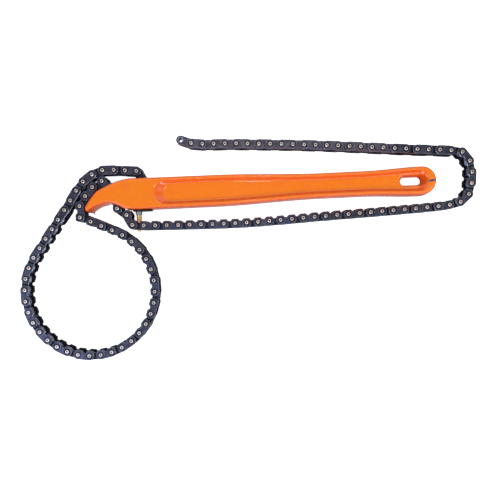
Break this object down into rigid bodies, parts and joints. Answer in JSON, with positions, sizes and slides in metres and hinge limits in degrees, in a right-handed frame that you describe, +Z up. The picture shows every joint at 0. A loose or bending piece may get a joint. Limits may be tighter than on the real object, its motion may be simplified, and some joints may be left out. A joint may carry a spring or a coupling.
{
  "type": "chain pipe wrench",
  "caption": "Chain pipe wrench: forged handle with a hooked slotted head and a toothed roller chain pinned in the head, looped for a pipe, hung on a peg, with its tail laid round the handle.",
  "frame": {"origin": "on the anchor pin's axis, in the head's lower face", "axes": "+X along the handle to the grip end, +Y to the handle's back, +Z up through the head's thickness"},
  "size_m": [0.3888, 0.1873, 0.0186],
  "materials": {
    "orange_enamel": "gloss enamel on a drop forging",
    "blued_steel": "oil blued, with bright pin ends",
    "bright_steel": "ground",
    "black_steel": "black oxide",
    "yellow_zinc": "yellow zinc plate"
  },
  "bodies": {
    "handle": {"handle": "orange_enamel", "anchor_pin": "bright_steel", "hook_plate": "black_steel", "hook_peg": "yellow_zinc", "chain_pair_24": "blued_steel", "chain_pair_25": "blued_steel", "chain_pair_26": "blued_steel", "chain_pair_28": "blued_steel"},
    "chain_pair_01": {"chain_pair_01": "blued_steel"},
    "chain_pair_02": {"chain_pair_02": "blued_steel"},
    "chain_pair_03": {"chain_pair_03": "blued_steel"},
    "chain_pair_04": {"chain_pair_04": "blued_steel"},
    "chain_pair_05": {"chain_pair_05": "blued_steel"},
    "chain_pair_06": {"chain_pair_06": "blued_steel"},
    "chain_pair_07": {"chain_pair_07": "blued_steel"},
    "chain_pair_08": {"chain_pair_08": "blued_steel"},
    "chain_pair_09": {"chain_pair_09": "blued_steel"},
    "chain_pair_10": {"chain_pair_10": "blued_steel"},
    "chain_pair_11": {"chain_pair_11": "blued_steel"},
    "chain_pair_12": {"chain_pair_12": "blued_steel"},
    "chain_pair_23": {"chain_pair_23": "blued_steel"},
    "chain_pair_22": {"chain_pair_22": "blued_steel"},
    "chain_pair_21": {"chain_pair_21": "blued_steel"},
    "chain_pair_20": {"chain_pair_20": "blued_steel"},
    "chain_pair_19": {"chain_pair_19": "blued_steel"},
    "chain_pair_18": {"chain_pair_18": "blued_steel"},
    "chain_pair_17": {"chain_pair_17": "blued_steel"},
    "chain_pair_16": {"chain_pair_16": "blued_steel"},
    "chain_pair_15": {"chain_pair_15": "blued_steel"},
    "chain_pair_14": {"chain_pair_14": "blued_steel"},
    "chain_pair_13": {"chain_pair_13": "blued_steel"},
    "chain_pair_29": {"chain_pair_29": "blued_steel"},
    "chain_pair_30": {"chain_pair_30": "blued_steel"},
    "chain_pair_31": {"chain_pair_31": "blued_steel"},
    "chain_pair_32": {"chain_pair_32": "blued_steel"},
    "chain_pair_33": {"chain_pair_33": "blued_steel"},
    "chain_pair_34": {"chain_pair_34": "blued_steel"},
    "chain_pair_35": {"chain_pair_35": "blued_steel"},
    "chain_pair_36": {"chain_pair_36": "blued_steel"},
    "chain_pair_37": {"chain_pair_37": "blued_steel"},
    "chain_pair_38": {"chain_pair_38": "blued_steel"},
    "chain_pair_39": {"chain_pair_39": "blued_steel"},
    "chain_pair_40": {"chain_pair_40": "blued_steel"},
    "chain_pair_41": {"chain_pair_41": "blued_steel"},
    "chain_pair_42": {"chain_pair_42": "blued_steel"},
    "chain_pair_43": {"chain_pair_43": "blued_steel"},
    "chain_pair_44": {"chain_pair_44": "blued_steel"},
    "chain_pair_45": {"chain_pair_45": "blued_steel"},
    "chain_pair_46": {"chain_pair_46": "blued_steel"},
    "chain_pair_47": {"chain_pair_47": "blued_steel"},
    "chain_pair_48": {"chain_pair_48": "blued_steel"},
    "chain_pair_49": {"chain_pair_49": "blued_steel"},
    "chain_pair_50": {"chain_pair_50": "blued_steel"},
    "chain_pair_51": {"chain_pair_51": "blued_steel"},
    "chain_pair_52": {"chain_pair_52": "blued_steel"},
    "chain_pair_53": {"chain_pair_53": "blued_steel"},
    "chain_pair_54": {"chain_pair_54": "blued_steel"},
    "chain_pair_55": {"chain_pair_55": "blued_steel"},
    "chain_pair_56": {"chain_pair_56": "blued_steel"},
    "chain_pair_57": {"chain_pair_57": "blued_steel"}
  },
  "joints": [
    {"name": "pin_000", "type": "hinge", "parent": "handle", "child": "chain_pair_01", "pos_m": [0, 0, 0.00598], "axis": [0, 0, -1], "range_deg": [0, 19]},
    {"name": "pin_002", "type": "hinge", "parent": "chain_pair_01", "child": "chain_pair_02", "pos_m": [-0.01395, 0.00935, 0.00598], "axis": [0, 0, -1], "range_deg": [0, 19]},
    {"name": "pin_004", "type": "hinge", "parent": "chain_pair_02", "child": "chain_pair_03", "pos_m": [-0.03295, 0.01044, 0.00598], "axis": [0, 0, -1], "range_deg": [0, 19]},
    {"name": "pin_006", "type": "hinge", "parent": "chain_pair_03", "child": "chain_pair_04", "pos_m": [-0.04967, 0.00178, 0.00598], "axis": [0, 0, -1], "range_deg": [0, 19]},
    {"name": "pin_008", "type": "hinge", "parent": "chain_pair_04", "child": "chain_pair_05", "pos_m": [-0.06104, -0.01347, 0.00598], "axis": [0, 0, -1], "range_deg": [0, 19]},
    {"name": "pin_010", "type": "hinge", "parent": "chain_pair_05", "child": "chain_pair_06", "pos_m": [-0.07211, -0.02898, 0.00598], "axis": [0, 0, -1], "range_deg": [0, 19]},
    {"name": "pin_012", "type": "hinge", "parent": "chain_pair_06", "child": "chain_pair_07", "pos_m": [-0.08329, -0.0444, 0.00598], "axis": [0, 0, -1], "range_deg": [0, 19]},
    {"name": "pin_014", "type": "hinge", "parent": "chain_pair_07", "child": "chain_pair_08", "pos_m": [-0.09439, -0.05988, 0.00598], "axis": [0, 0, -1], "range_deg": [0, 19]},
    {"name": "pin_016", "type": "hinge", "parent": "chain_pair_08", "child": "chain_pair_09", "pos_m": [-0.10198, -0.07727, 0.00598], "axis": [0, 0, -1], "range_deg": [0, 19]},
    {"name": "pin_018", "type": "hinge", "parent": "chain_pair_09", "child": "chain_pair_10", "pos_m": [-0.10316, -0.09621, 0.00598], "axis": [0, 0, -1], "range_deg": [-1, 19]},
    {"name": "pin_020", "type": "hinge", "parent": "chain_pair_10", "child": "chain_pair_11", "pos_m": [-0.09772, -0.1144, 0.00598], "axis": [0, 0, -1], "range_deg": [-1.5, 19]},
    {"name": "pin_022", "type": "hinge", "parent": "chain_pair_11", "child": "chain_pair_12", "pos_m": [-0.08641, -0.12963, 0.00598], "axis": [0, 0, -1], "range_deg": [-2, 19]},
    {"name": "pin_046", "type": "hinge", "parent": "handle", "child": "chain_pair_23", "pos_m": [-0.05353, -0.01848, 0.00838], "axis": [0, 0, 1], "range_deg": [0, 1]},
    {"name": "pin_044", "type": "hinge", "parent": "chain_pair_23", "child": "chain_pair_22", "pos_m": [-0.04501, -0.03193, 0.00808], "axis": [0, 0, 1], "range_deg": [0, 1.5]},
    {"name": "pin_042", "type": "hinge", "parent": "chain_pair_22", "child": "chain_pair_21", "pos_m": [-0.02765, -0.03977, 0.00778], "axis": [0, 0, 1], "range_deg": [0, 4]},
    {"name": "pin_040", "type": "hinge", "parent": "chain_pair_21", "child": "chain_pair_20", "pos_m": [-0.01174, -0.05012, 0.00748], "axis": [0, 0, 1], "range_deg": [0, 19]},
    {"name": "pin_038", "type": "hinge", "parent": "chain_pair_20", "child": "chain_pair_19", "pos_m": [-0.00035, -0.0653, 0.00718], "axis": [0, 0, 1], "range_deg": [0, 19]},
    {"name": "pin_036", "type": "hinge", "parent": "chain_pair_19", "child": "chain_pair_18", "pos_m": [0.00516, -0.08346, 0.00688], "axis": [0, 0, 1], "range_deg": [0, 19]},
    {"name": "pin_034", "type": "hinge", "parent": "chain_pair_18", "child": "chain_pair_17", "pos_m": [0.00415, -0.10241, 0.00658], "axis": [0, 0, 1], "range_deg": [0, 19]},
    {"name": "pin_032", "type": "hinge", "parent": "chain_pair_17", "child": "chain_pair_16", "pos_m": [-0.0033, -0.11986, 0.00628], "axis": [0, 0, 1], "range_deg": [0, 19]},
    {"name": "pin_030", "type": "hinge", "parent": "chain_pair_16", "child": "chain_pair_15", "pos_m": [-0.01631, -0.13368, 0.00598], "axis": [0, 0, 1], "range_deg": [0, 19]},
    {"name": "pin_028", "type": "hinge", "parent": "chain_pair_15", "child": "chain_pair_14", "pos_m": [-0.03326, -0.14222, 0.00598], "axis": [0, 0, 1], "range_deg": [0, 19]},
    {"name": "pin_026", "type": "hinge", "parent": "chain_pair_14", "child": "chain_pair_13", "pos_m": [-0.0521, -0.14446, 0.00598], "axis": [0, 0, 1], "range_deg": [-1, 19]},
    {"name": "pin_056", "type": "hinge", "parent": "handle", "child": "chain_pair_29", "pos_m": [0.00906, -0.03761, 0.00898], "axis": [0, 0, 1], "range_deg": [-2, 1]},
    {"name": "pin_058", "type": "hinge", "parent": "chain_pair_29", "child": "chain_pair_30", "pos_m": [0.0281, -0.0381, 0.00868], "axis": [0, 0, -1], "range_deg": [-1, 2.5]},
    {"name": "pin_060", "type": "hinge", "parent": "chain_pair_30", "child": "chain_pair_31", "pos_m": [0.04714, -0.03852, 0.00838], "axis": [0, 0, -1], "range_deg": [-1, 2.5]},
    {"name": "pin_062", "type": "hinge", "parent": "chain_pair_31", "child": "chain_pair_32", "pos_m": [0.06619, -0.03882, 0.00808], "axis": [0, 0, 1], "range_deg": [-2.5, 1.5]},
    {"name": "pin_064", "type": "hinge", "parent": "chain_pair_32", "child": "chain_pair_33", "pos_m": [0.08524, -0.0388, 0.00778], "axis": [0, 0, 1], "range_deg": [-3.5, 1.5]},
    {"name": "pin_066", "type": "hinge", "parent": "chain_pair_33", "child": "chain_pair_34", "pos_m": [0.10429, -0.03826, 0.00748], "axis": [0, 0, -1], "range_deg": [-2, 4.5]},
    {"name": "pin_068", "type": "hinge", "parent": "chain_pair_34", "child": "chain_pair_35", "pos_m": [0.12332, -0.03746, 0.00718], "axis": [0, 0, -1], "range_deg": [-2.5, 5]},
    {"name": "pin_070", "type": "hinge", "parent": "chain_pair_35", "child": "chain_pair_36", "pos_m": [0.14235, -0.03661, 0.00688], "axis": [0, 0, 1], "range_deg": [-6, 2.5]},
    {"name": "pin_072", "type": "hinge", "parent": "chain_pair_36", "child": "chain_pair_37", "pos_m": [0.16139, -0.03589, 0.00658], "axis": [0, 0, 1], "range_deg": [-8, 4.5]},
    {"name": "pin_074", "type": "hinge", "parent": "chain_pair_37", "child": "chain_pair_38", "pos_m": [0.18042, -0.03522, 0.00628], "axis": [0, 0, -1], "range_deg": [-5, 12]},
    {"name": "pin_076", "type": "hinge", "parent": "chain_pair_38", "child": "chain_pair_39", "pos_m": [0.19946, -0.03454, 0.00598], "axis": [0, 0, -1], "range_deg": [-7, 21]},
    {"name": "pin_078", "type": "hinge", "parent": "chain_pair_39", "child": "chain_pair_40", "pos_m": [0.2185, -0.03377, 0.00598], "axis": [0, 0, 1], "range_deg": [-21, 6]},
    {"name": "pin_080", "type": "hinge", "parent": "chain_pair_40", "child": "chain_pair_41", "pos_m": [0.23753, -0.03294, 0.00598], "axis": [0, 0, 1], "range_deg": [-21, 5]},
    {"name": "pin_082", "type": "hinge", "parent": "chain_pair_41", "child": "chain_pair_42", "pos_m": [0.25654, -0.03171, 0.00598], "axis": [0, 0, -1], "range_deg": [-5, 21]},
    {"name": "pin_084", "type": "hinge", "parent": "chain_pair_42", "child": "chain_pair_43", "pos_m": [0.27305, -0.02339, 0.00598], "axis": [0, 0, -1], "range_deg": [-4.5, 21]},
    {"name": "pin_086", "type": "hinge", "parent": "chain_pair_43", "child": "chain_pair_44", "pos_m": [0.2767, -0.00482, 0.00598], "axis": [0, 0, 1], "range_deg": [-21, 4.5]},
    {"name": "pin_088", "type": "hinge", "parent": "chain_pair_44", "child": "chain_pair_45", "pos_m": [0.26939, 0.0122, 0.00598], "axis": [0, 0, 1], "range_deg": [-21, 4.5]},
    {"name": "pin_090", "type": "hinge", "parent": "chain_pair_45", "child": "chain_pair_46", "pos_m": [0.25057, 0.01495, 0.00598], "axis": [0, 0, -1], "range_deg": [-5, 21]},
    {"name": "pin_092", "type": "hinge", "parent": "chain_pair_46", "child": "chain_pair_47", "pos_m": [0.23157, 0.01639, 0.00598], "axis": [0, 0, -1], "range_deg": [-6, 21]},
    {"name": "pin_094", "type": "hinge", "parent": "chain_pair_47", "child": "chain_pair_48", "pos_m": [0.21259, 0.01805, 0.00598], "axis": [0, 0, 1], "range_deg": [-21, 6]},
    {"name": "pin_096", "type": "hinge", "parent": "chain_pair_48", "child": "chain_pair_49", "pos_m": [0.19363, 0.01984, 0.00598], "axis": [0, 0, 1], "range_deg": [-21, 7]},
    {"name": "pin_098", "type": "hinge", "parent": "chain_pair_49", "child": "chain_pair_50", "pos_m": [0.17466, 0.02159, 0.00598], "axis": [0, 0, -1], "range_deg": [-9, 21]},
    {"name": "pin_100", "type": "hinge", "parent": "chain_pair_50", "child": "chain_pair_51", "pos_m": [0.15568, 0.02324, 0.00598], "axis": [0, 0, -1], "range_deg": [-10, 21]},
    {"name": "pin_102", "type": "hinge", "parent": "chain_pair_51", "child": "chain_pair_52", "pos_m": [0.13668, 0.02468, 0.00598], "axis": [0, 0, 1], "range_deg": [-21, 12]},
    {"name": "pin_104", "type": "hinge", "parent": "chain_pair_52", "child": "chain_pair_53", "pos_m": [0.11768, 0.02595, 0.00598], "axis": [0, 0, 1], "range_deg": [-21, 16]},
    {"name": "pin_106", "type": "hinge", "parent": "chain_pair_53", "child": "chain_pair_54", "pos_m": [0.09866, 0.02712, 0.00598], "axis": [0, 0, -1], "range_deg": [-21, 21]},
    {"name": "pin_108", "type": "hinge", "parent": "chain_pair_54", "child": "chain_pair_55", "pos_m": [0.07964, 0.02822, 0.00598], "axis": [0, 0, -1], "range_deg": [-21, 21]},
    {"name": "pin_110", "type": "hinge", "parent": "chain_pair_55", "child": "chain_pair_56", "pos_m": [0.06061, 0.02888, 0.00598], "axis": [0, 0, 1], "range_deg": [-21, 21]},
    {"name": "pin_112", "type": "hinge", "parent": "chain_pair_56", "child": "chain_pair_57", "pos_m": [0.04163, 0.03033, 0.00598], "axis": [0, 0, 1], "range_deg": [-21, 21]}
  ]
}
